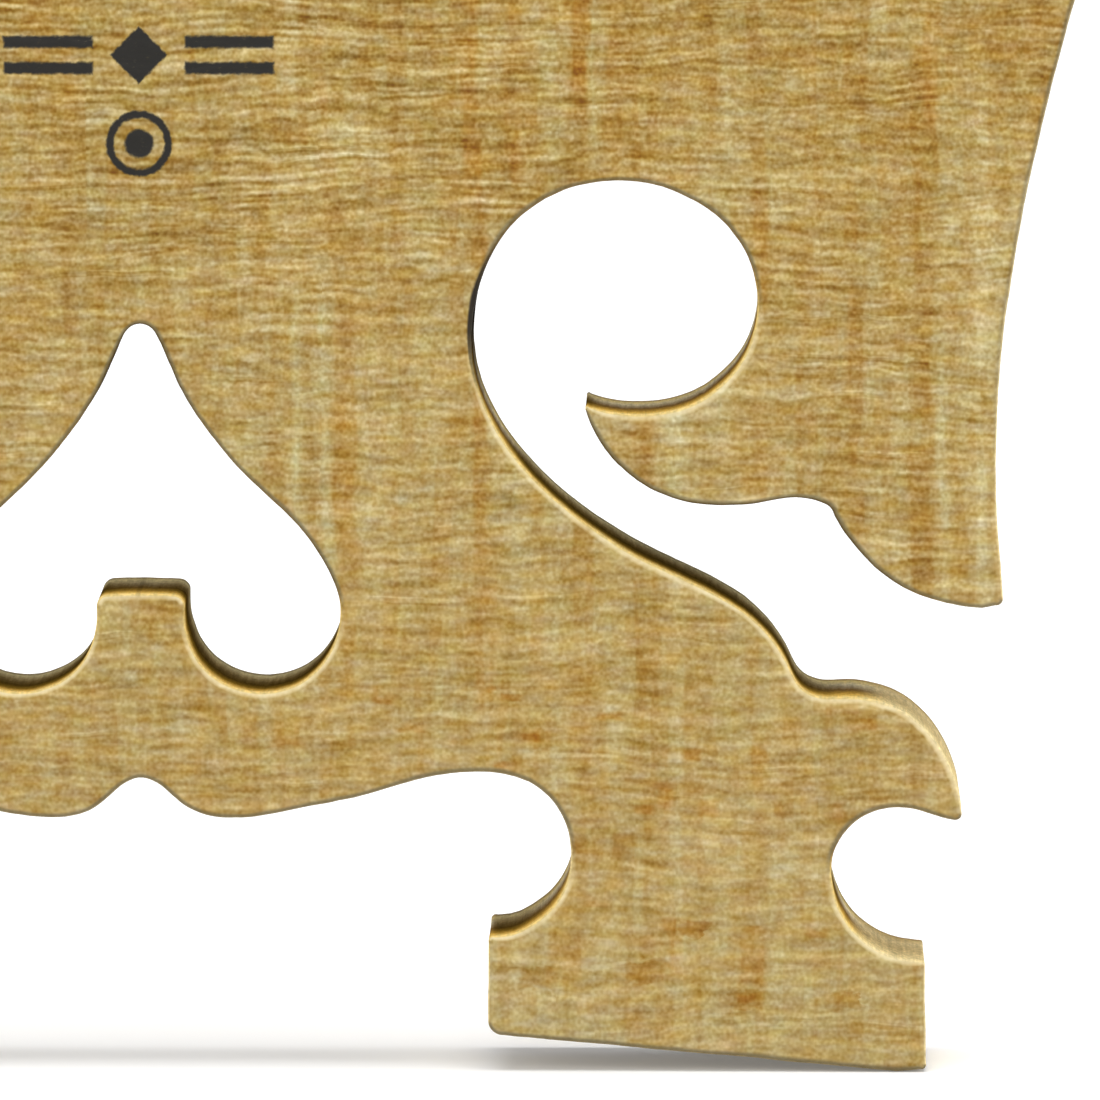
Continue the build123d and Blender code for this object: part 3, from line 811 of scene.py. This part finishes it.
# pale edges: partly wear, and on edges that face up a painted highlight from the light above
rub_and_highlight = g.m("MULTIPLY", edge, g.step(lift, -0.15, 0.55, 0.1, 1.0))
rub_and_highlight = g.m("MULTIPLY", rub_and_highlight, g.step(g.noise(g.v("MULTIPLY", P, (1.3, 1.3, 1.3)), detail=2), 0.25, 0.6, 0.65, 1.0))
col = g.mix(g.m("MULTIPLY", rub_and_highlight, 0.8), col, (*srgb(244, 230, 188), 1))
# painted shade on edges that face down
down_edge_shade = g.m("MULTIPLY", g.m("MULTIPLY", edge, edge), g.step(lift, 0.12, -0.40, 0.0, 0.85))
col = g.mix(down_edge_shade, col, (*srgb(92, 84, 62), 1))
col = g.mix(wall_mask, col, wall_col_and_shade)

# maker's ink: a plain rule with a lozenge in it and a ringed dot under it
wx = g.m("MULTIPLY_ADD", g.noise(g.v("SCALE", P, scale=7.0), detail=2), 0.10, -0.05)
wz = g.m("MULTIPLY_ADD", g.noise(g.v("ADD", g.v("SCALE", P, scale=7.0), (9.0, 3.0, 5.0)), detail=2), 0.10, -0.05)
ix, iz = g.m("ABSOLUTE", g.m("ADD", X, wx)), g.m("ADD", Z, wz)


def box_mask(cx, cz, hx, hz, soft=0.05):
    dx = g.m("SUBTRACT", g.m("ABSOLUTE", g.m("SUBTRACT", ix, cx)), hx)
    dz = g.m("SUBTRACT", g.m("ABSOLUTE", g.m("SUBTRACT", iz, cz)), hz)
    return g.step(g.m("MAXIMUM", dx, dz), soft, -soft)


RULE_Z, DOT_Z = 26.6, 24.3
bar1 = box_mask(2.35, RULE_Z + 0.34, 1.15, 0.15)
bar2 = box_mask(2.35, RULE_Z - 0.34, 1.15, 0.15)
loz = g.step(g.m("ADD", ix, g.m("ABSOLUTE", g.m("SUBTRACT", iz, RULE_Z))), 0.79, 0.69)
dist = g.m("SQRT", g.m("ADD", g.m("MULTIPLY", ix, ix), g.m("POWER", g.m("ABSOLUTE", g.m("SUBTRACT", iz, DOT_Z)), 2.0)))
dot = g.step(dist, 0.42, 0.32)
ringed = g.step(g.m("ABSOLUTE", g.m("SUBTRACT", dist, 0.76)), 0.13, 0.05)
ink = g.m("MAXIMUM", g.m("MAXIMUM", bar1, bar2), g.m("MAXIMUM", loz, g.m("MAXIMUM", dot, ringed)))
on_front = g.m("LESS_THAN", Y, Y_FRONT + 0.2)
thin = g.step(g.noise(g.v("MULTIPLY", P, (6.0, 6.0, 12.0)), detail=2), 0.18, 0.42, 0.78, 1.0)
ink = g.m("MULTIPLY", g.m("MULTIPLY", ink, on_front), thin)
col = g.mix(ink, col, (*srgb(34, 32, 28), 1))

gamma = g.node("ShaderNodeGamma")
g.put(gamma.inputs[0], g.v("MAXIMUM", col, (0.02, 0.015, 0.01)))
gamma.inputs[1].default_value = 2.2

bump = g.node("ShaderNodeBump")
bump.inputs["Strength"].default_value = 0.8
bump.inputs["Distance"].default_value = 0.016 * MM
height = g.m("ADD", g.m("MULTIPLY", o2, 0.30), g.m("ADD", g.m("MULTIPLY", g.m("ADD", o3, o4), 0.30), g.m("ADD", g.m("MULTIPLY", fine, 0.15), g.m("MULTIPLY", fibre_line_and_highlight, 0.6))))
height = g.m("ADD", g.m("MULTIPLY", height, g.m("SUBTRACT", 1.0, wall)), g.m("MULTIPLY", g.m("MULTIPLY", saw, wall), 2.5))
g.put(bump.inputs["Height"], height)

rough = g.m("MULTIPLY_ADD", V, -0.03, 0.60)
rough = g.m("SUBTRACT", rough, g.m("MULTIPLY", ink, 0.12), clamp=True)
shader = g.node("ShaderNodeBsdfPrincipled")
g.put(shader.inputs["Base Color"], gamma.outputs[0])
g.put(shader.inputs["Roughness"], rough)
g.put(shader.inputs["Normal"], bump.outputs[0])
shader.inputs["Specular IOR Level"].default_value = 0.28
out = g.node("ShaderNodeOutputMaterial")
g.put(out.inputs[0], shader.outputs[0])
mesh.materials.append(g.mat)
sawn = g.mat.copy()  # the same wood, with the dull surface a fine saw leaves
sawn.name = "sawn_maple"
sawn_shader = next(n for n in sawn.node_tree.nodes if n.type == "BSDF_PRINCIPLED")
sawn_shader.inputs["Specular IOR Level"].default_value = 0.0
mesh.materials.append(sawn)

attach(bridge, "root")
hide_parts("bridge")

# --------------------------------------------------------------------------------------------------------------------
# floor, light, camera
# --------------------------------------------------------------------------------------------------------------------
f = Nodes("pale_floor")
fs = f.node("ShaderNodeBsdfPrincipled")
fs.inputs["Base Color"].default_value = (0.93, 0.93, 0.93, 1)
fs.inputs["Roughness"].default_value = 0.75
fs.inputs["Specular IOR Level"].default_value = 0.1
fs.inputs["Emission Color"].default_value = (1, 1, 1, 1)
fs.inputs["Emission Strength"].default_value = 0.15
fo = f.node("ShaderNodeOutputMaterial")
f.put(fo.inputs[0], fs.outputs[0])
bpy.ops.mesh.primitive_plane_add(size=6, location=(0, 0, 0))
floor = bpy.context.object
floor.name = "floor"
floor.data.materials.append(f.mat)


def area(name, where, aim, size, power, colour=(1, 1, 1)):
    lamp = bpy.data.lights.new(name, "AREA")
    lamp.shape = "RECTANGLE"
    lamp.size, lamp.size_y = size
    lamp.energy = power
    lamp.color = colour
    o = bpy.data.objects.new(name, lamp)
    bpy.context.scene.collection.objects.link(o)
    o.location = where
    o.rotation_euler = (Vector(aim) - Vector(where)).to_track_quat("-Z", "Y").to_euler()
    return o


AIM = (0, 0, 0.018)
area("front_box", (-0.08, -0.60, 0.34), AIM, (0.5, 0.4), 1.14)
area("right_box", (0.55, -0.12, 0.25), AIM, (0.35, 0.4), 1.0)
area("left_box", (-0.55, -0.15, 0.25), AIM, (0.35, 0.4), 0.6)
area("top_box", (0.0, -0.06, 0.65), AIM, (0.6, 0.5), 4.2)
area("back_box", (0.0, 0.60, 0.30), AIM, (0.8, 0.4), 1.2)
world = bpy.data.worlds.new("studio")
world.use_nodes = True
world.node_tree.nodes["Background"].inputs[0].default_value = (1, 1, 1, 1)
world.node_tree.nodes["Background"].inputs[1].default_value = 0.22
bpy.context.scene.world = world
bpy.context.scene.view_settings.view_transform = "Standard"

C = Vector((15.35658511, -356.35, 50.14575742)) * MM
A = Vector((10.67152525, -2.35, 13.70640292)) * MM
cam = bpy.data.cameras.new("camera")
cam.sensor_width = 36.0
cam.lens = 447.504
cam.clip_start = 0.02
camera = bpy.data.objects.new("camera", cam)
bpy.context.scene.collection.objects.link(camera)
camera.location = C
camera.rotation_euler = (A - C).to_track_quat("-Z", "Y").to_euler()
bpy.context.scene.camera = camera
